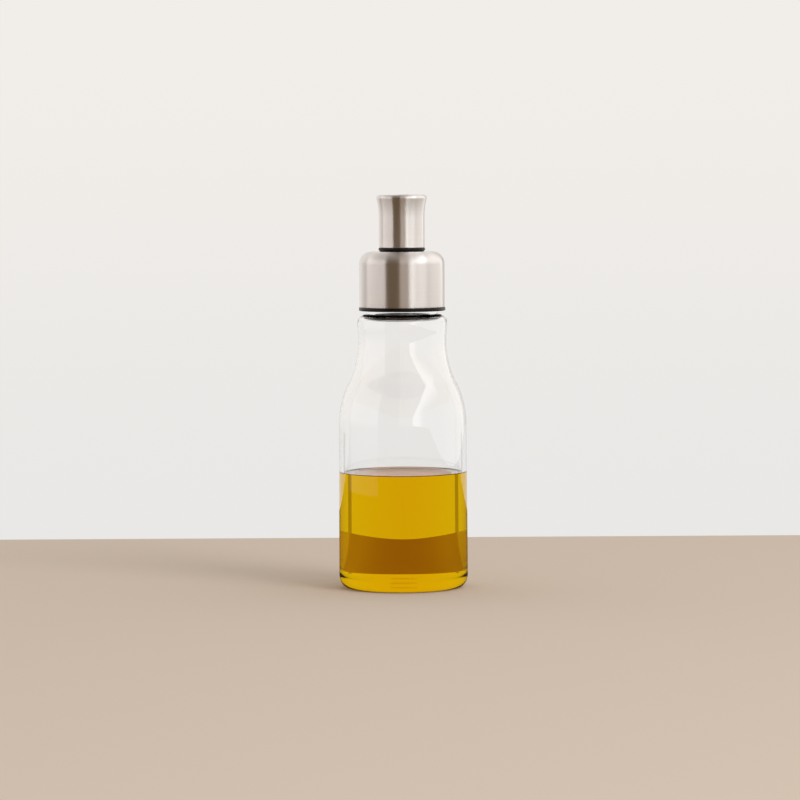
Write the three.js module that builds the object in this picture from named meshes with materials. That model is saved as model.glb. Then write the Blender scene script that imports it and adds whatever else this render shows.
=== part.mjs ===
// Oil dispenser bottle: a round clear glass bottle, partly full of oil, shut by a screw-on pourer top.
// The top is a black liner inside a steel collar, with a flared steel cap standing on a black seal.
// Millimetres, +Z up, origin at the centre of the foot. Every piece is turned about the Z axis.
import * as THREE from "three";

// Driving dimensions of the glass
const bodyRadius = 32;
const bodyTopRadius = 31.7;
const neckRadius = 21.9;
const lipRadius = 22.3;
const finishRadius = 17.7;
const boreRadius = 14;
const bodyWall = 2.3;
const neckWall = 2.6;
const floorHeight = 1.6;
const heelWidth = 4.8;
const heelHeight = 6.3;
const innerHeelRound = 3;
const footInnerRadius = 17;
const puntHeight = 0.12;
const shoulderBottom = 81;
const neckBottom = 123;
const lipBottom = 131.7;
const ledgeRadius = 18.4;
const ledgeHeight = 136.1;
const innerLipBottom = 132;
const innerLipRound = 2;
const throatRound = 1;
const finishTop = 152;
const rimRound = 0.8;

// Driving dimensions of the oil and of the pourer top
const oilLevel = 57;
const collarRadius = 21.2;
const collarSheet = 0.7;
const collarBottom = 139.45;
const collarTop = 167;
const collarRound = 6;
const flangeRadius = 21.5;
const flangeHeight = 1.75;
const sealRadius = 11.6;
const sealFootRadius = 11;
const sealHeight = 1.95;
const sealBeadStart = -45;
const capRadius = 11.35;
const capFlareRadius = 12.55;
const capFlareStart = 14.85;
const capHeight = 26.15;
const capRimRound = 1.6;
const capEdge = 0.3;
const capDishRadius = 8;
const capDishDepth = 0.5;

// Clearances: round walls that face each other, and flat faces that rest on each other
const wallGap = 0.3;
const seatGap = 0.02;

// Fineness: the facets of a full turn, and how far the chords of an arc may stray from it
const turnFacets = 48;
const chordError = 0.05;

const glass = new THREE.MeshStandardMaterial({
  color: 0xeef0ea,
  roughness: 0.03,
  metalness: 0,
  transparent: true,
  opacity: 0.3,
});
const oilYellow = new THREE.MeshStandardMaterial({ color: 0xcb9d08, roughness: 0.05, metalness: 0 });
const steel = new THREE.MeshStandardMaterial({ color: 0xc9bfb6, roughness: 0.28, metalness: 1 });
const blackPlastic = new THREE.MeshStandardMaterial({ color: 0x17171a, roughness: 0.4, metalness: 0 });
const blackSilicone = new THREE.MeshStandardMaterial({ color: 0x141414, roughness: 0.55, metalness: 0 });

// A point of a profile: its distance from the axis and its height.
function at(radius, height) {
  return new THREE.Vector2(radius, height);
}

// Points along an arc about a centre, from one angle to another in degrees. It is a circular arc, or an
// upright ellipse's where its rise isn't its radius.
function arc(centreRadius, centreHeight, radius, fromDegrees, toDegrees, rise = radius) {
  const from = THREE.MathUtils.degToRad(fromDegrees);
  const to = THREE.MathUtils.degToRad(toDegrees);
  const widestStep = 2 * Math.acos(1 - chordError / Math.max(radius, rise));
  const steps = Math.ceil(Math.abs(to - from) / widestStep);
  const points = [];
  for (let i = 0; i <= steps; i++) {
    const angle = THREE.MathUtils.lerp(from, to, i / steps);
    points.push(at(centreRadius + radius * Math.cos(angle), centreHeight + rise * Math.sin(angle)));
  }
  return points;
}

// An S-curve of two equal arcs that leave both ends upright, from a wide end up to a narrow one.
function shoulder(lowRadius, highRadius) {
  const inward = lowRadius - highRadius;
  const rise = neckBottom - shoulderBottom;
  const sweep = 2 * Math.atan(inward / rise);
  const radius = rise / (2 * Math.sin(sweep));
  const degrees = THREE.MathUtils.radToDeg(sweep);
  const outwardArc = arc(lowRadius - radius, shoulderBottom, radius, 0, degrees);
  const inwardArc = arc(highRadius + radius, neckBottom, radius, 180 + degrees, 180);
  return [...outwardArc, ...inwardArc.slice(1)];
}

// The inside of the heel, from the edge of the flat floor up to the straight wall, drawn in by an inset.
function innerHeel(inset) {
  const wallRadius = bodyRadius - bodyWall;
  const centreHeight = floorHeight + innerHeelRound;
  return arc(wallRadius - innerHeelRound, centreHeight, innerHeelRound - inset, -90, 0);
}

// A solid turned about the Z axis from a profile that runs from the axis round the outside to the axis.
function turned(name, profile, material) {
  const geometry = new THREE.LatheGeometry(profile, turnFacets).rotateX(Math.PI / 2);
  const mesh = new THREE.Mesh(geometry, material);
  mesh.name = name;
  return mesh;
}

// Glass bottle: a foot ring round a faint punt, a rounded heel, a straight body, a long shoulder, a neck
// that swells to a rounded lip with a flat ledge, and a narrower finish that the collar covers.
function bottle() {
  const puntBall = (footInnerRadius ** 2 + puntHeight ** 2) / (2 * puntHeight);
  const puntDegrees = THREE.MathUtils.radToDeg(Math.asin(footInnerRadius / puntBall));
  const throatHeight = innerLipBottom + innerLipRound + throatRound;
  const outside = [
    ...arc(0, puntHeight - puntBall, puntBall, 90, 90 - puntDegrees),
    ...arc(bodyRadius - heelWidth, heelHeight, heelWidth, -90, 0, heelHeight),
    ...shoulder(bodyTopRadius, neckRadius),
    ...arc(ledgeRadius, lipBottom, lipRadius - ledgeRadius, 0, 90, ledgeHeight - lipBottom),
    at(finishRadius, ledgeHeight),
  ];
  const finish = [
    ...arc(finishRadius - rimRound, finishTop - rimRound, rimRound, 0, 90),
    ...arc(boreRadius + rimRound, finishTop - rimRound, rimRound, 90, 180),
  ];
  const inside = [
    ...arc(boreRadius + throatRound, throatHeight, throatRound, 180, 270),
    ...arc(lipRadius - neckWall - innerLipRound, innerLipBottom, innerLipRound, 90, 0),
    ...shoulder(bodyTopRadius - bodyWall, neckRadius - neckWall).reverse(),
    ...innerHeel(0).reverse(),
    at(0, floorHeight),
  ];
  return turned("bottle", [...outside, ...finish, ...inside], glass);
}

// Oil: fills the body from the floor up to a level surface.
function oil() {
  const taper = (bodyRadius - bodyTopRadius) * (oilLevel / shoulderBottom);
  const levelRadius = bodyRadius - bodyWall - wallGap - taper;
  const heel = innerHeel(wallGap);
  const foot = at(heel[0].x, floorHeight + seatGap);
  const profile = [
    at(0, foot.y),
    foot,
    ...heel.slice(1),
    at(levelRadius, oilLevel),
    at(0, oilLevel),
  ];
  return turned("oil", profile, oilYellow);
}

// Liner: a black plug that shuts the mouth, with a sleeve round the finish and a flange at its foot.
function liner() {
  const sleeveBore = finishRadius + wallGap;
  const sleeveRadius = collarRadius - collarSheet - wallGap;
  const sleeveRound = collarRound - collarSheet - wallGap;
  const flangeBottom = collarBottom - flangeHeight;
  const flangeTop = collarBottom - seatGap;
  const roof = finishTop + seatGap;
  const top = collarTop - collarSheet - seatGap;
  const profile = [
    at(0, roof),
    at(sleeveBore, roof),
    at(sleeveBore, flangeBottom),
    at(flangeRadius, flangeBottom),
    at(flangeRadius, flangeTop),
    at(sleeveRadius, flangeTop),
    ...arc(sleeveRadius - sleeveRound, top - sleeveRound, sleeveRound, 0, 90),
    at(0, top),
  ];
  return turned("liner", profile, blackPlastic);
}

// Collar: a spun steel cup over the liner, with a round shoulder and a flat top.
function collar() {
  const roundCentre = collarRadius - collarRound;
  const roundHeight = collarTop - collarRound;
  const profile = [
    at(0, collarTop - collarSheet),
    ...arc(roundCentre, roundHeight, collarRound - collarSheet, 90, 0),
    at(collarRadius - collarSheet, collarBottom),
    at(collarRadius, collarBottom),
    ...arc(roundCentre, roundHeight, collarRound, 0, 90),
    at(0, collarTop),
  ];
  return turned("collar", profile, steel);
}

// Seal: a black puck under the cap, with a bead round its upper edge. Its foot is at height 0.
function seal() {
  const beadRound = sealRadius - sealFootRadius;
  const profile = [
    at(0, seatGap),
    at(sealFootRadius, seatGap),
    ...arc(sealFootRadius, sealHeight - beadRound, beadRound, sealBeadStart, 90),
    at(0, sealHeight),
  ];
  return turned("seal", profile, blackSilicone);
}

// Cap: a steel plug with straight sides that flare smoothly into the rounded rim of a dished top.
// Its foot is at height 0.
function cap() {
  const rimCentre = capFlareRadius - capRimRound;
  const rimHeight = capHeight - capRimRound;
  const flareRise = rimHeight - capFlareStart;
  const flareOut = capFlareRadius - capRadius;
  const centreDistance = (flareRise ** 2 + flareOut ** 2) / (2 * flareOut);
  const flareBall = centreDistance - capRimRound;
  const flareDegrees = THREE.MathUtils.radToDeg(Math.asin(flareRise / centreDistance));
  const profile = [
    at(0, seatGap),
    at(capRadius - capEdge, seatGap),
    at(capRadius, capEdge),
    ...arc(capRadius + flareBall, capFlareStart, flareBall, 180, 180 - flareDegrees),
    ...arc(rimCentre, rimHeight, capRimRound, -flareDegrees, 90).slice(1),
    at(capDishRadius, capHeight - capDishDepth),
    at(0, capHeight - capDishDepth),
  ];
  return turned("cap", profile, steel);
}

const vessel = new THREE.Group();
vessel.add(bottle(), oil());

const capPiece = cap();
capPiece.position.z = sealHeight;
const capStack = new THREE.Group();
capStack.position.z = collarTop;
capStack.add(seal(), capPiece);

const pourerTop = new THREE.Group();
pourerTop.add(liner(), collar(), capStack);

const dispenser = new THREE.Group();
dispenser.add(vessel, pourerTop);

export default dispenser;
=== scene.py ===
import math

import bpy
import numpy as np
from mathutils import Matrix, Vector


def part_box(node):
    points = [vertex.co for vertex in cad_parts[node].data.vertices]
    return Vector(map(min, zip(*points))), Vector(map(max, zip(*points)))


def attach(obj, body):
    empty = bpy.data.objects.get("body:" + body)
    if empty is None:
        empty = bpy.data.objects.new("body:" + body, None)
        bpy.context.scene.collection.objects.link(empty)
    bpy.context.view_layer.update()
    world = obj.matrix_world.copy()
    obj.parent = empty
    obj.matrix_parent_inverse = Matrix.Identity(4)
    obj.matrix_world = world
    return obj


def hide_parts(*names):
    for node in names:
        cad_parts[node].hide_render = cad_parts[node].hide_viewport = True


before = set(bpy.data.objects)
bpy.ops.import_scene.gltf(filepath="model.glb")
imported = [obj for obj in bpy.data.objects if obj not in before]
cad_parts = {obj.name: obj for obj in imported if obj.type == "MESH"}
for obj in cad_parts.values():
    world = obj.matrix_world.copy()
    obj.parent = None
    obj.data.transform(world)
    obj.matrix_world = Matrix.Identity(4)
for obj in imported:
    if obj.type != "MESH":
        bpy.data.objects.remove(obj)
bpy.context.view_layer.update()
mm = 0.001
samePlace = 1e-4  # points of a profile that are closer than this, in millimetres, are one
edgePoints, bendPoints, curvePoints = 8, 16, 32  # on a small round, a middling one and a long curve
print("frame loaded:", sorted(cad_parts))


# radius, foot and top of a solid, in millimetres
def spanOf(node):
    low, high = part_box(node)
    return high.x / mm, low.z / mm, high.z / mm


# points on a circle about (r, z), at angles spaced evenly from start to end, in degrees; a rise other
# than the radius makes it an upright ellipse
def arc(r, z, radius, start, end, count=curvePoints, rise=None):
    angle = np.radians(np.linspace(start, end, count))
    return np.stack([r + radius * np.cos(angle), z + (rise or radius) * np.sin(angle)], 1)


# evenly spaced points on the straight stretch between two (r, z) points
def straight(start, end, count=bendPoints):
    return np.linspace(start, end, count)


# stretches of a profile in one row, with the points that meet at their ends kept once
def joined(*stretches):
    points = np.concatenate([np.atleast_2d(part) for part in stretches])
    step = np.linalg.norm(np.diff(points, axis=0), axis=1)
    return points[np.r_[True, step > samePlace]]


# S-curve of two equal arcs that leave both ends upright: the sweep of each is twice the angle
# whose tangent is the inward step over the rise
def sCurve(lowRadius, lowHeight, highRadius, highHeight, count=curvePoints):
    rise = highHeight - lowHeight
    sweep = 2 * math.atan((lowRadius - highRadius) / rise)
    radius = rise / (2 * math.sin(sweep))
    degrees = math.degrees(sweep)
    return joined(
        arc(lowRadius - radius, lowHeight, radius, 0, degrees, count),
        arc(highRadius + radius, highHeight, radius, 180 + degrees, 180, count),
    )


# a new object in the scene, for a mesh, a lamp or a camera
def placed(name, data):
    made = bpy.data.objects.new(name, data)
    bpy.context.scene.collection.objects.link(made)
    return made


# surface of revolution: the profile's point (r, z) at angle a goes to (r cos a, r sin a, z);
# the profile starts and ends on the axis, where each end is a single point
def turned(name, profile, columns=256, crease=40):
    rings = profile[1:-1]
    angle = np.linspace(0, 2 * np.pi, columns, endpoint=False)
    x = np.outer(rings[:, 0], np.cos(angle))
    y = np.outer(rings[:, 0], np.sin(angle))
    z = np.repeat(rings[:, 1:], columns, 1)
    ends = np.zeros((2, 3))
    ends[:, 2] = profile[[0, -1], 1]
    points = np.concatenate([np.stack([x, y, z], -1).reshape(-1, 3), ends]) * mm
    index = np.arange(rings.shape[0] * columns).reshape(-1, columns)
    beside = np.roll(index, -1, 1)
    quads = np.stack([index[:-1], beside[:-1], beside[1:], index[1:]], -1).reshape(-1, 4)
    foot = np.stack([np.full(columns, index.size), beside[0], index[0]], -1)
    top = np.stack([index[-1], beside[-1], np.full(columns, index.size + 1)], -1)
    mesh = bpy.data.meshes.new(name)
    mesh.from_pydata(points.tolist(), [], quads.tolist() + foot.tolist() + top.tolist())
    mesh.shade_smooth()
    mesh.set_sharp_from_angle(angle=math.radians(crease))
    return placed(name, mesh)


# one socket of a node tree: arithmetic on it adds Math nodes, and node() adds any other
class Wire:
    def __init__(self, tree, socket=None):
        self.tree = tree
        self.socket = socket

    def node(self, kind, settings=None, sockets=None, out=0):
        made = self.tree.nodes.new(kind)
        for name, value in (settings or {}).items():
            setattr(made, name, value)
        for key, value in (sockets or {}).items():
            if isinstance(value, Wire):
                self.tree.links.new(value.socket, made.inputs[key])
            else:
                made.inputs[key].default_value = value
        return Wire(self.tree, made.outputs[out] if made.outputs else None)

    def math(self, operation, first, second=0.0):
        return self.node("ShaderNodeMath", {"operation": operation}, {0: first, 1: second})

    def __add__(self, other):
        return self.math("ADD", self, other)

    def __sub__(self, other):
        return self.math("SUBTRACT", self, other)

    def __rsub__(self, other):
        return self.math("SUBTRACT", other, self)

    def __mul__(self, other):
        return self.math("MULTIPLY", self, other)

    def __pow__(self, other):
        return self.math("POWER", self, other)

    __radd__ = __add__
    __rmul__ = __mul__


# an empty material, with a wire to build its nodes from and one for the place on the object
def newFinish(name):
    finish = bpy.data.materials.new(name)
    finish.use_nodes = True
    finish.node_tree.nodes.clear()
    wire = Wire(finish.node_tree)
    return finish, wire, wire.node("ShaderNodeTexCoord", out="Object")


# a place or a direction taken apart into its x, y and z
def axesOf(wire, place):
    split = wire.node("ShaderNodeSeparateXYZ", {}, {0: place})
    return [Wire(wire.tree, socket) for socket in split.socket.node.outputs]


# noise with so many waves to the metre
def noise(wire, place, scale, detail, roughness=0.5):
    return wire.node("ShaderNodeTexNoise", {}, {
        "Vector": place, "Scale": scale, "Detail": detail, "Roughness": roughness,
    })


# a shader's normal, tipped as if its face rose by a height times a depth in metres
def bumped(wire, height, strength, depth):
    return wire.node("ShaderNodeBump", {}, {"Height": height, "Strength": strength, "Distance": depth})


# the first colour going over to the second as a share goes from 0 to 1
def blended(wire, share, first, second):
    return wire.node("ShaderNodeMix", {"data_type": "RGBA"}, {0: share, 6: first, 7: second}, 2)


# a smooth step that is 0 at the start and the most at the end
def smoothStep(wire, value, start, end, most=1.0):
    return wire.node("ShaderNodeMapRange", {"interpolation_type": "SMOOTHSTEP"}, {
        0: value, 1: start, 2: end, 4: most,
    })


# a clear body that bends light by its index
def clearBody(wire, index, roughness, normal):
    return wire.node("ShaderNodeBsdfPrincipled", {}, {
        "Base Color": (1, 1, 1, 1),
        "Roughness": roughness,
        "IOR": index,
        "Transmission Weight": 1.0,
        "Normal": normal,
    })


# the piece takes its finish, rides on the one body and stands for its solid
def dress(piece, finish, node):
    piece.data.materials.append(finish)
    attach(piece, "root")
    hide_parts(node)
    print("made", piece.name, len(piece.data.polygons), "faces")


# camera: a long lens a little above the bottle, tipped down and rolled a hair
cameraSet = dict(
    distance=1.9357, height=0.2148, aside=-0.00132, tiltDown=3.595, roll=-0.328, lens=175.5, sensor=36.0,
)


def longLens(shape):
    data = bpy.data.cameras.new("camera")
    data.lens = shape["lens"]
    data.sensor_width = shape["sensor"]
    camera = placed("camera", data)
    camera.matrix_world = (
        Matrix.Translation((shape["aside"], -shape["distance"], shape["height"]))
        @ Matrix.Rotation(math.radians(90 - shape["tiltDown"]), 4, "X")
        @ Matrix.Rotation(math.radians(shape["roll"]), 4, "Z")
    )
    bpy.context.scene.camera = camera


longLens(cameraSet)

# clear glass: faint waves and haze of blown glass; where oil wets it, light goes straight on
glassLook = dict(
    index=1.5, wetIndex=1.0, waveScale=45.0, waveDetail=1.0, waveStrength=0.3, waveDepth=0.00002,
    hazeScale=160.0, hazeDetail=3.0, hazeMost=0.012,
)


def clearGlass(name, index, look):
    finish, wire, place = newFinish(name)
    wave = noise(wire, place, look["waveScale"], look["waveDetail"])
    haze = noise(wire, place, look["hazeScale"], look["hazeDetail"])
    normal = bumped(wire, wave, look["waveStrength"], look["waveDepth"])
    surface = clearBody(wire, index, haze * look["hazeMost"], normal)
    wire.node("ShaderNodeOutputMaterial", {}, {"Surface": surface})
    return finish


# bottle: foot ring round a shallow punt, rounded heel, straight body, long shoulder, neck that
# swells to a rounded lip, and the narrower finish inside the collar
bottleShape = dict(
    bodyTopRadius=31.7, neckRadius=21.9, lipRadius=22.3, finishRadius=17.7, boreRadius=14.0,
    bodyWall=2.3, neckWall=2.6, floorHeight=1.6, heelWidth=4.8, heelHeight=6.3, innerHeelRound=3.0,
    footInnerRadius=17.0, puntHeight=0.12, shoulderBottom=81.0, neckBottom=123.0,
    lipBottom=131.7, ledgeRadius=18.4, ledgeHeight=136.1, innerLipBottom=132.2, innerLipRound=1.5,
    throatRound=1.0, rimRound=0.8,
)


# the punt is a cap of a ball, whose radius is half the sum of its squared width and height over its height
def puntCurve(shape):
    ball = (shape["footInnerRadius"] ** 2 + shape["puntHeight"] ** 2) / (2 * shape["puntHeight"])
    sweep = math.degrees(math.asin(shape["footInnerRadius"] / ball))
    return arc(0, shape["puntHeight"] - ball, ball, 90, 90 - sweep, bendPoints)


# inside of the heel, from the floor to the start of the wall, moved outward by a reach
def innerHeel(shape, bodyRadius, reach=0.0):
    rounding = shape["innerHeelRound"]
    wallRadius = bodyRadius - shape["bodyWall"]
    return arc(wallRadius - rounding, shape["floorHeight"] + rounding, rounding + reach, -90, 0)


# outside of the glass, from the middle of the foot up to the rim: the heel and the lip are quarter
# ellipses, the shoulder and the neck S-curves
def glassOutside(shape, bodyRadius, rimHeight):
    punt = puntCurve(shape)
    heelCentre = bodyRadius - shape["heelWidth"]
    heelRise = shape["heelHeight"]
    heel = arc(heelCentre, heelRise, shape["heelWidth"], -90, 0, rise=heelRise)
    shoulderFoot = (shape["bodyTopRadius"], shape["shoulderBottom"])
    neckFoot = (shape["neckRadius"], shape["neckBottom"])
    lipFoot = (shape["lipRadius"], shape["lipBottom"])
    lipWidth = shape["lipRadius"] - shape["ledgeRadius"]
    lipRise = shape["ledgeHeight"] - shape["lipBottom"]
    rim = shape["rimRound"]
    return joined(
        punt,
        straight(punt[-1], heel[0]),
        heel,
        straight(heel[-1], shoulderFoot),
        sCurve(*shoulderFoot, *neckFoot),
        sCurve(*neckFoot, *lipFoot, edgePoints),
        arc(shape["ledgeRadius"], shape["lipBottom"], lipWidth, 0, 90, rise=lipRise),
        (shape["finishRadius"], shape["ledgeHeight"]),
        arc(shape["finishRadius"] - rim, rimHeight, rim, 0, 90, edgePoints),
    )


# inside of the glass, from the rim down to the middle of the floor, with a ring of points at the oil's edge
def glassInside(shape, bodyRadius, rimHeight, wetTop):
    rim, throat, lipRound = shape["rimRound"], shape["throatRound"], shape["innerLipRound"]
    lipRadius = shape["lipRadius"] - shape["neckWall"]
    shoulderFoot = np.array([shape["bodyTopRadius"] - shape["bodyWall"], shape["shoulderBottom"]])
    neckFoot = (shape["neckRadius"] - shape["neckWall"], shape["neckBottom"])
    throatHeight = shape["innerLipBottom"] + lipRound + throat
    heel = innerHeel(shape, bodyRadius)
    wetShare = (shoulderFoot[1] - wetTop) / (shoulderFoot[1] - heel[-1, 1])
    wetLine = shoulderFoot + (heel[-1] - shoulderFoot) * wetShare
    return joined(
        arc(shape["boreRadius"] + rim, rimHeight, rim, 90, 180, edgePoints),
        arc(shape["boreRadius"] + throat, throatHeight, throat, 180, 270, bendPoints),
        arc(lipRadius - lipRound, shape["innerLipBottom"], lipRound, 90, 0, bendPoints),
        sCurve(*neckFoot, lipRadius, shape["innerLipBottom"], edgePoints)[::-1],
        sCurve(*shoulderFoot, *neckFoot)[::-1],
        straight(shoulderFoot, wetLine),
        straight(wetLine, heel[-1]),
        heel[::-1],
        (0, shape["floorHeight"]),
    )


def glassBottle(shape, wetTop):
    bodyRadius, _, finishTop = spanOf("bottle")
    rimHeight = finishTop - shape["rimRound"]
    outside = glassOutside(shape, bodyRadius, rimHeight)
    profile = joined(outside, glassInside(shape, bodyRadius, rimHeight, wetTop))
    profile[0, 0] = 0
    return turned("glass_bottle", profile)


# the faces below the oil's edge that look up, or towards the axis and hardly down, take the wet finish
wetFaces = dict(upward=0.5, downward=-0.1)


def wetInside(piece, top, limits):
    faces = piece.data.polygons
    centre = np.empty(len(faces) * 3)
    facing = np.empty(len(faces) * 3)
    faces.foreach_get("center", centre)
    faces.foreach_get("normal", facing)
    centre = centre.reshape(-1, 3) / mm
    facing = facing.reshape(-1, 3)
    inward = (centre[:, :2] * facing[:, :2]).sum(1) < 0
    inside = (inward & (facing[:, 2] > limits["downward"])) | (facing[:, 2] > limits["upward"])
    faces.foreach_set("material_index", (inside & (centre[:, 2] < top)).astype(np.int32))


# the wall's radius at the oil's level, on the straight line from the heel to the shoulder
def oilEdge(glass):
    bodyRadius = spanOf("bottle")[0]
    level = spanOf("oil")[2]
    heelTop = glass["floorHeight"] + glass["innerHeelRound"]
    taper = (bodyRadius - glass["bodyTopRadius"]) / (glass["shoulderBottom"] - heelTop)
    return bodyRadius - glass["bodyWall"] - taper * (level - heelTop), level


oilShape = dict(reach=0.12, meniscusHeight=0.7, meniscusWidth=1.2, meniscusSpan=10.0, meniscusPoints=80)
edgeRadius, oilLevel = oilEdge(bottleShape)
wetTop = oilLevel + oilShape["meniscusHeight"]
bottlePiece = glassBottle(bottleShape, wetTop)
dryGlass = clearGlass("clear_glass", glassLook["index"], glassLook)
dress(bottlePiece, dryGlass, "bottle")
bottlePiece.data.materials.append(clearGlass("wet_glass", glassLook["wetIndex"], glassLook))
wetInside(bottlePiece, wetTop, wetFaces)

# golden oil: clear, and coloured by its depth alone; light goes straight on against the glass, and
# bends only on top, where the oil meets air
oilLook = dict(
    sideIndex=1.0, topIndex=1.47, tint=(0.983, 0.9335, 0.25, 1), density=200.0,
    rippleScale=30.0, rippleDetail=1.0, rippleStrength=0.1, rippleDepth=0.00002,
)


def goldenOil(look, surfaceRadius, surfaceFoot):
    finish, wire, place = newFinish("golden_oil")
    x, y, z = axesOf(wire, place)
    inside = wire.math("LESS_THAN", (x * x + y * y) ** 0.5, surfaceRadius * mm)
    onTop = inside * wire.math("GREATER_THAN", z, surfaceFoot * mm)
    ripple = noise(wire, place, look["rippleScale"], look["rippleDetail"])
    normal = bumped(wire, ripple, look["rippleStrength"], look["rippleDepth"])
    side = clearBody(wire, look["sideIndex"], 0.0, normal)
    top = clearBody(wire, look["topIndex"], 0.0, normal)
    surface = wire.node("ShaderNodeMixShader", {}, {0: onTop, 1: side, 2: top})
    depth = wire.node("ShaderNodeVolumeAbsorption", {}, {"Color": look["tint"], "Density": look["density"]})
    wire.node("ShaderNodeOutputMaterial", {}, {"Surface": surface, "Volume": depth})
    return finish


# oil: fills the body and reaches a hair into the glass; its surface is level, and climbs the wall
# as height times e to the power of minus the distance from the wall over a width
def oilFill(shape, glass, wallRadius, level):
    heel = innerHeel(glass, spanOf("bottle")[0], shape["reach"])
    nearWall = np.linspace(0, shape["meniscusSpan"], shape["meniscusPoints"])
    fromWall = np.concatenate([nearWall, np.linspace(shape["meniscusSpan"], wallRadius, curvePoints)[1:]])
    climb = shape["meniscusHeight"] * np.exp(-fromWall / shape["meniscusWidth"])
    surface = np.stack([wallRadius - fromWall, level + climb], 1)
    edge = surface[0] + (shape["reach"], 0)
    return turned("golden_oil", joined((0, heel[0, 1]), heel, straight(heel[-1], edge), surface))


oilFinish = goldenOil(oilLook, edgeRadius - oilShape["reach"] / 2, oilLevel - oilShape["reach"])
dress(oilFill(oilShape, bottleShape, edgeRadius, oilLevel), oilFinish, "oil")

# black plastic: satin, with a fine moulded grain and faint rubbed patches
plasticLook = dict(
    dark=(0.002, 0.002, 0.002, 1), pale=(0.006, 0.006, 0.006, 1), gloss=0.15,
    patchScale=90.0, patchDetail=3.0, roughness=0.2, patchRoughness=0.16,
    grainScale=2600.0, grainDetail=2.0, grainStrength=0.25, grainDepth=0.00003,
)

# black silicone: matte, with a soft bloom of dust that is its grain too
siliconeLook = dict(
    dark=(0.002, 0.002, 0.002, 1), pale=(0.009, 0.009, 0.009, 1), gloss=0.15,
    patchScale=700.0, patchDetail=4.0, roughness=0.3, patchRoughness=0.2,
    grainScale=700.0, grainDetail=4.0, grainStrength=0.2, grainDepth=0.00004,
)


# a moulded black: paler and rougher in patches, over a grain
def mouldedBlack(name, look):
    finish, wire, place = newFinish(name)
    patches = noise(wire, place, look["patchScale"], look["patchDetail"])
    grain = noise(wire, place, look["grainScale"], look["grainDetail"])
    surface = wire.node("ShaderNodeBsdfPrincipled", {}, {
        "Base Color": blended(wire, patches, look["dark"], look["pale"]),
        "Roughness": look["roughness"] + patches * look["patchRoughness"],
        "Specular IOR Level": look["gloss"],
        "Normal": bumped(wire, grain, look["grainStrength"], look["grainDepth"]),
    })
    wire.node("ShaderNodeOutputMaterial", {}, {"Surface": surface})
    return finish


# liner: a plug over the finish with a rounded flange that shows as a black rim under the steel
linerShape = dict(sleeveBore=18.0, sleeveInset=1.0, roofHeight=152.1, flangeRound=0.45, topRound=5.0)


def blackLiner(shape):
    flangeRadius, foot, top = spanOf("liner")
    collarRadius, collarFoot, _ = spanOf("collar")
    sleeveRadius = collarRadius - shape["sleeveInset"]
    bore, edge, crown = shape["sleeveBore"], shape["flangeRound"], shape["topRound"]
    profile = joined(
        (0, shape["roofHeight"]),
        straight((bore, shape["roofHeight"]), (bore, foot + edge)),
        arc(bore + edge, foot + edge, edge, 180, 270, edgePoints),
        arc(flangeRadius - edge, foot + edge, edge, -90, 0, edgePoints),
        arc(flangeRadius - edge, collarFoot - edge, edge, 0, 90, edgePoints),
        (sleeveRadius, collarFoot),
        arc(sleeveRadius - crown, top - crown, crown, 0, 90, bendPoints),
        (0, top),
    )
    return turned("black_liner", profile)


dress(blackLiner(linerShape), mouldedBlack("black_plastic", plasticLook), "liner")

# brushed steel: fine marks that run round the axis, faint smears, a warm grey
steelLook = dict(
    light=(0.78, 0.745, 0.72, 1), dark=(0.70, 0.665, 0.64, 1),
    markScale=5200.0, markLength=35.0, markDetail=3.0, markBreak=0.6, markStrength=0.12, markDepth=0.00002,
    smearScale=55.0, smearDetail=2.0, roughness=0.29, markRoughness=0.06, smearRoughness=0.05,
    anisotropy=1.0, turn=0.25,  # a quarter turn: highlights stretch across the marks
)


def brushedSteel(look):
    finish, wire, place = newFinish("brushed_steel")
    x, y, z = axesOf(wire, place)
    radius = (x * x + y * y) ** 0.5
    across = (z - radius) * look["markScale"]  # grows up the side and in over the top
    along = look["markLength"]
    brushPlace = wire.node("ShaderNodeCombineXYZ", {}, {0: x * along, 1: y * along, 2: across})
    marks = noise(wire, brushPlace, 1.0, look["markDetail"], look["markBreak"])
    smears = noise(wire, place, look["smearScale"], look["smearDetail"])
    roughness = look["roughness"] + marks * look["markRoughness"] + smears * look["smearRoughness"]
    surface = wire.node("ShaderNodeBsdfPrincipled", {}, {
        "Base Color": blended(wire, marks, look["dark"], look["light"]),
        "Metallic": 1.0,
        "Roughness": roughness,
        "Anisotropic": look["anisotropy"],
        "Anisotropic Rotation": look["turn"],
        "Normal": bumped(wire, marks, look["markStrength"], look["markDepth"]),
    })
    wire.node("ShaderNodeOutputMaterial", {}, {"Surface": surface})
    return finish


steelFinish = brushedSteel(steelLook)

# collar: a spun steel cup with a rolled foot, a round shoulder and a flat top
collarShape = dict(sheet=0.7, shoulderRound=6.0, footRound=0.3)


def steelCollar(shape):
    radius, foot, top = spanOf("collar")
    shoulder, edge = shape["shoulderRound"], shape["footRound"]
    centre = radius - shoulder
    centreHeight = top - shoulder
    innerRadius = radius - shape["sheet"]
    profile = joined(
        (0, top - shape["sheet"]),
        arc(centre, centreHeight, shoulder - shape["sheet"], 90, 0),
        (innerRadius, foot + edge),
        arc(innerRadius + edge, foot + edge, edge, 180, 270, edgePoints),
        arc(radius - edge, foot + edge, edge, -90, 0, edgePoints),
        straight((radius, foot + edge), (radius, centreHeight)),
        arc(centre, centreHeight, shoulder, 0, 90),
        straight((centre, top), (0, top)),
    )
    return turned("steel_collar", profile)


dress(steelCollar(collarShape), steelFinish, "collar")

# seal: a puck that swells to a bead under the cap
sealShape = dict(footInset=0.6, footEdge=0.2, beadRound=0.75, beadStart=-40)


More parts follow.
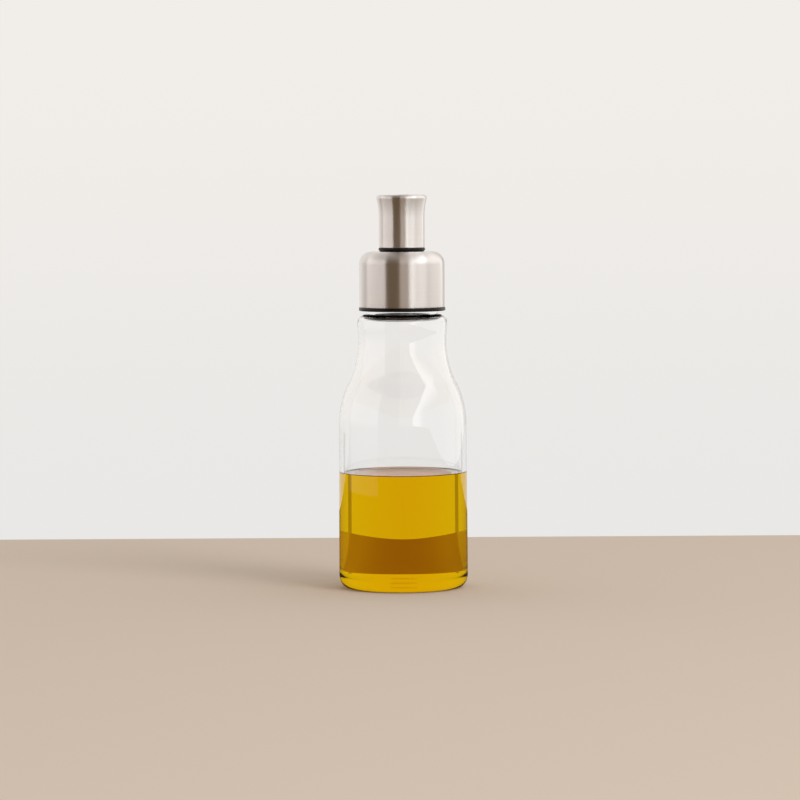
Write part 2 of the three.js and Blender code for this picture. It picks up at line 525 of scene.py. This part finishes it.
def blackSeal(shape):
    radius, foot, top = spanOf("seal")
    footRadius = radius - shape["footInset"]
    edge, bead = shape["footEdge"], shape["beadRound"]
    profile = joined(
        (0, foot),
        (footRadius - edge, foot),
        (footRadius, foot + edge),
        arc(radius - bead, top - bead, bead, shape["beadStart"], 90, bendPoints),
        (0, top),
    )
    return turned("black_seal", profile)


dress(blackSeal(sealShape), mouldedBlack("black_silicone", siliconeLook), "seal")

# cap: straight sides, a flare to a rounded finger grip, and a shallow dish in the top
capShape = dict(
    sideRadius=11.35, flareStart=14.85, rimRound=1.6, footRound=0.3, dishRadius=8.0, dishDepth=0.5,
)


def steelCap(shape):
    flareRadius, foot, top = spanOf("cap")
    side, rim, edge = shape["sideRadius"], shape["rimRound"], shape["footRound"]
    rimCentre = flareRadius - rim
    rimHeight = top - rim
    flareFoot = foot + shape["flareStart"]
    rise = rimHeight - flareFoot
    out = flareRadius - side
    reach = (rise ** 2 + out ** 2) / (2 * out)  # between the centres of the flare and the rim, which touch
    ball = reach - rim
    flareAngle = math.degrees(math.asin(rise / reach))
    share = np.linspace(0, 1, curvePoints)  # the dish falls as a smooth step from the rim to its flat middle
    dish = np.stack([
        rimCentre + (shape["dishRadius"] - rimCentre) * share,
        top - shape["dishDepth"] * share ** 2 * (3 - 2 * share),
    ], 1)
    profile = joined(
        (0, foot),
        arc(side - edge, foot + edge, edge, -90, 0, edgePoints),
        straight((side, foot + edge), (side, flareFoot)),
        arc(side + ball, flareFoot, ball, 180, 180 - flareAngle),
        arc(rimCentre, rimHeight, rim, -flareAngle, 90),
        dish,
        straight(dish[-1], (0, dish[-1, 1])),
    )
    return turned("steel_cap", profile)


dress(steelCap(capShape), steelFinish, "cap")


# only these rays meet a thing on the stage; what the camera sees takes light and casts shade too
def seenOnlyBy(thing, rays):
    thing.visible_camera = thing.visible_diffuse = thing.visible_shadow = rays == "camera"
    thing.visible_glossy = rays == "glossy"
    thing.visible_transmission = rays == "transmission"


# stage: a plain pale slab that ends behind the bottle; two darker copies of it, painted shade of the
# floor, stand in for it: one in reflections and a small one in what shows through the oil
slabSet = dict(gap=0.0002, thick=0.03, cornerPoints=16, nearest=0.01)
slabLooks = [
    dict(name="pale_slab", seenBy="camera", width=4.0, depth=2.6, farEdge=0.252, round=0.01, lift=0.0,
         colours=[(0.68, 0.58, 0.49, 1)], slants=[]),
    # painted shade: the floor as the steel and the glass mirror it, much darker than the slab the camera
    # sees
    dict(name="mirror_shade_slab", seenBy="glossy", width=4.0, depth=2.8, farEdge=0.42, round=0.01,
         lift=0.00005, colours=[(0.16, 0.10, 0.035, 1)], slants=[]),
    # painted shade: the floor as seen through the oil, darker than the camera's slab, and paler to the sides
    # as painted light for the oil's bright edge bands
    dict(name="lens_shade_slab", seenBy="transmission", width=0.48, depth=0.9, farEdge=0.252, round=0.20,
         lift=0.00005, colours=[(0.41, 0.255, 0.13, 1), (0.50, 0.34, 0.17, 1), (0.66, 0.54, 0.38, 1)],
         slants=[(0.05, 0.5), (0.76, 0.92)]),
]


# the slab's outline is a rectangle whose corners are quarter circles, carried down by the thickness
def slabMesh(look, shape):
    turn = np.linspace(0, 90, shape["cornerPoints"])[:, None] + np.arange(4) * 90
    angle = np.radians(turn.T.ravel())
    side = np.repeat([(1, 1), (-1, 1), (-1, -1), (1, -1)], shape["cornerPoints"], 0)
    half = np.array([look["width"] / 2, look["depth"] / 2])
    corner = look["round"] * np.stack([np.cos(angle), np.sin(angle)], 1)
    outline = side * (half - look["round"]) + corner + (0, look["farEdge"] - half[1])
    count = len(outline)
    top = np.full((count, 1), look["lift"] - shape["gap"])
    points = np.concatenate([np.hstack([outline, top]), np.hstack([outline, top - shape["thick"]])])
    here = np.arange(count)
    after = np.roll(here, -1)
    sides = np.stack([after, here, here + count, after + count], 1)
    mesh = bpy.data.meshes.new(look["name"])
    mesh.from_pydata(points.tolist(), [], [here.tolist(), (here + count)[::-1].tolist()] + sides.tolist())
    return mesh


# the slab's colour may change with the slant, which is the distance aside over the distance behind; paler
# colours at wider slants are painted light
def slabFinish(look, shape):
    finish, wire, place = newFinish(look["name"])
    x, y, _ = axesOf(wire, place)
    slant = wire.math("ABSOLUTE", x) * wire.math("MAXIMUM", y, shape["nearest"]) ** -1.0
    colour = look["colours"][0]
    for (start, end), paler in zip(look["slants"], look["colours"][1:]):
        colour = blended(wire, smoothStep(wire, slant, start, end), colour, paler)
    surface = wire.node("ShaderNodeBsdfDiffuse", {}, {"Color": colour})
    wire.node("ShaderNodeOutputMaterial", {}, {"Surface": surface})
    return finish


for look in slabLooks:
    slab = placed(look["name"], slabMesh(look, slabSet))
    slab.data.materials.append(slabFinish(look, slabSet))
    seenOnlyBy(slab, look["seenBy"])
print("floor laid")

# sky: an even pale wall all round, dim overhead in front and to the left
skyLook = dict(
    low=(0.815, 0.807, 0.791, 1), high=(0.88, 0.847, 0.815, 1), overhead=(0.40, 0.37, 0.34, 1),
    rising=(-0.1, 0.03), up=(0.3, 0.65), front=(0.5, -0.1), left=(0.45, 0.0),
)


def paleSky(look):
    world = bpy.data.worlds.new("pale_sky")
    world.use_nodes = True
    world.node_tree.nodes.clear()
    wire = Wire(world.node_tree)
    side, back, up = axesOf(wire, wire.node("ShaderNodeTexCoord", out="Generated"))
    high = smoothStep(wire, up, *look["up"])
    front = smoothStep(wire, back, *look["front"])
    left = smoothStep(wire, side, *look["left"])
    wall = blended(wire, smoothStep(wire, up, *look["rising"]), look["low"], look["high"])
    sky = blended(wire, high * front * left, wall, look["overhead"])
    light = wire.node("ShaderNodeBackground", {}, {"Color": sky})
    wire.node("ShaderNodeOutputWorld", {}, {"Surface": light})
    bpy.context.scene.world = world


paleSky(skyLook)

# light: a broad soft lamp on the right
lampSet = dict(place=(1.6, -1.6, 1.3), size=1.4, watts=22.0)


def softLamp(shape):
    data = bpy.data.lights.new("soft_lamp", "AREA")
    data.shape = "DISK"
    data.size = shape["size"]
    data.energy = shape["watts"]
    lamp = placed("soft_lamp", data)
    lamp.location = shape["place"]
    lamp.rotation_euler = (-lamp.location).to_track_quat("-Z", "Y").to_euler()
    lamp.visible_camera = lamp.visible_glossy = lamp.visible_transmission = False


softLamp(lampSet)
print("sky and lamp lit")


# a glow that goes from the dim colour to the bright one
def glowFinish(look):
    finish, wire, place = newFinish(look["name"])
    axes = dict(zip("xyz", axesOf(wire, place)))
    unlit = 1.0
    for axis, (start, end, most) in look["share"].items():  # each axis adds light from one place to another
        unlit = unlit * (1 - smoothStep(wire, axes[axis], start, end, most))
    colour = blended(wire, 1 - unlit, look["dim"], look["bright"])
    glow = wire.node("ShaderNodeEmission", {}, {"Color": colour})
    wire.node("ShaderNodeOutputMaterial", {}, {"Surface": glow})
    finish.cycles.emission_sampling = "NONE"
    return finish


# a glowing sheet from its corners, which only some rays see
def glowSheet(look, points, faces):
    mesh = bpy.data.meshes.new(look["name"])
    mesh.from_pydata(points.tolist(), [], faces.tolist())
    mesh.materials.append(glowFinish(look))
    sheet = placed(look["name"], mesh)
    seenOnlyBy(sheet, look["seenBy"])


# flat sheets: a long window on the right, seen in the steel and the glass, which is bright in its
# upper half and at its far end, a plain pale one beside it, and a dull sheet high behind, which the
# oil's surface mirrors
sheetSet = [
    dict(name="long_window", seenBy="glossy", ends=[(1.95, -6.0), (0.89, -0.15)], low=0.0, high=1.12,
         dim=(1.3, 1.28, 1.26, 1), bright=(4.0, 4.0, 4.0, 1),
         share={"z": (0.4, 0.95, 1.0), "y": (-1.2, -2.6, 0.8)}),
    dict(name="side_window", seenBy="glossy", ends=[(0.89, -0.15), (0.70, 0.90)], low=0.0, high=1.12,
         dim=(1.5, 1.46, 1.42, 1), bright=(1.5, 1.46, 1.42, 1), share={}),
    dict(name="dull_sheet", seenBy="transmission", ends=[(-0.16, 1.2), (0.16, 1.2)], low=0.143, high=0.24,
         dim=(0.58, 0.42, 0.33, 1), bright=(0.82, 0.72, 0.64, 1),
         share={"z": (0.152, 0.160, 1.0), "x": (-0.02, -0.12, 1.0)}),
]


# an upright rectangle over the line between its two ends
def flatSheet(look):
    line = np.array([(*end, 0) for end in look["ends"]])
    points = np.concatenate([line + (0, 0, look["low"]), line[::-1] + (0, 0, look["high"])])
    glowSheet(look, points, np.array([[0, 1, 2, 3]]))


for sheet in sheetSet:
    flatSheet(sheet)

# cards round the bottle: azimuth runs from the camera's side to the right, in degrees
cardShape = dict(seenBy="glossy", low=0.0, high=1.1, columns=32, share={"z": (0.0, 0.12, 1.0)})
cardSet = [
    dict(name="left_card", azimuths=(-110, -45), distance=0.62, high=0.5,
         dim=(0.45, 0.42, 0.40, 1), bright=(1.5, 1.42, 1.38, 1)),
    dict(name="left_side", azimuths=(-160, -110), distance=1.2,
         dim=(0.95, 0.92, 0.88, 1), bright=(1.0, 0.97, 0.93, 1)),
    dict(name="dark_card", azimuths=(-45, -6.5), distance=0.9,
         dim=(0.13, 0.09, 0.055, 1), bright=(0.17, 0.12, 0.08, 1)),
    dict(name="grey_card", azimuths=(-6.5, 15), distance=0.9,
         dim=(0.14, 0.11, 0.10, 1), bright=(0.90, 0.78, 0.70, 1)),
    dict(name="right_side", azimuths=(144, 162), distance=1.2,
         dim=(0.70, 0.67, 0.64, 1), bright=(0.72, 0.69, 0.66, 1)),
]

# two slim grey posts behind, which the oil bends to its sides
postShape = dict(
    seenBy="transmission", distance=0.7, low=-0.4, high=0.03,
    dim=(0.46, 0.41, 0.36, 1), bright=(0.46, 0.41, 0.36, 1),
)
postSet = [
    dict(postShape, name="post_right", azimuths=(134, 140)),
    dict(postShape, name="post_left", azimuths=(220, 226)),
]


# an upright strip bent round the axis: azimuth a and height z give (d sin a, -d cos a, z)
def roundCard(look):
    columns = look["columns"]
    angle = np.radians(np.linspace(*look["azimuths"], columns))
    ring = np.stack([np.sin(angle), -np.cos(angle), np.zeros_like(angle)], 1) * look["distance"]
    points = np.concatenate([ring + (0, 0, look["low"]), ring + (0, 0, look["high"])])
    low = np.arange(columns - 1)
    glowSheet(look, points, np.stack([low, low + 1, low + 1 + columns, low + columns], 1))


for card in cardSet + postSet:
    roundCard(dict(cardShape, **card))

lightSet = dict(view="Standard", bounces=24)
scene = bpy.context.scene
scene.view_settings.view_transform = lightSet["view"]
scene.cycles.max_bounces = lightSet["bounces"]
scene.cycles.transmission_bounces = lightSet["bounces"]
scene.cycles.use_denoising = True
print("stage and lights set")
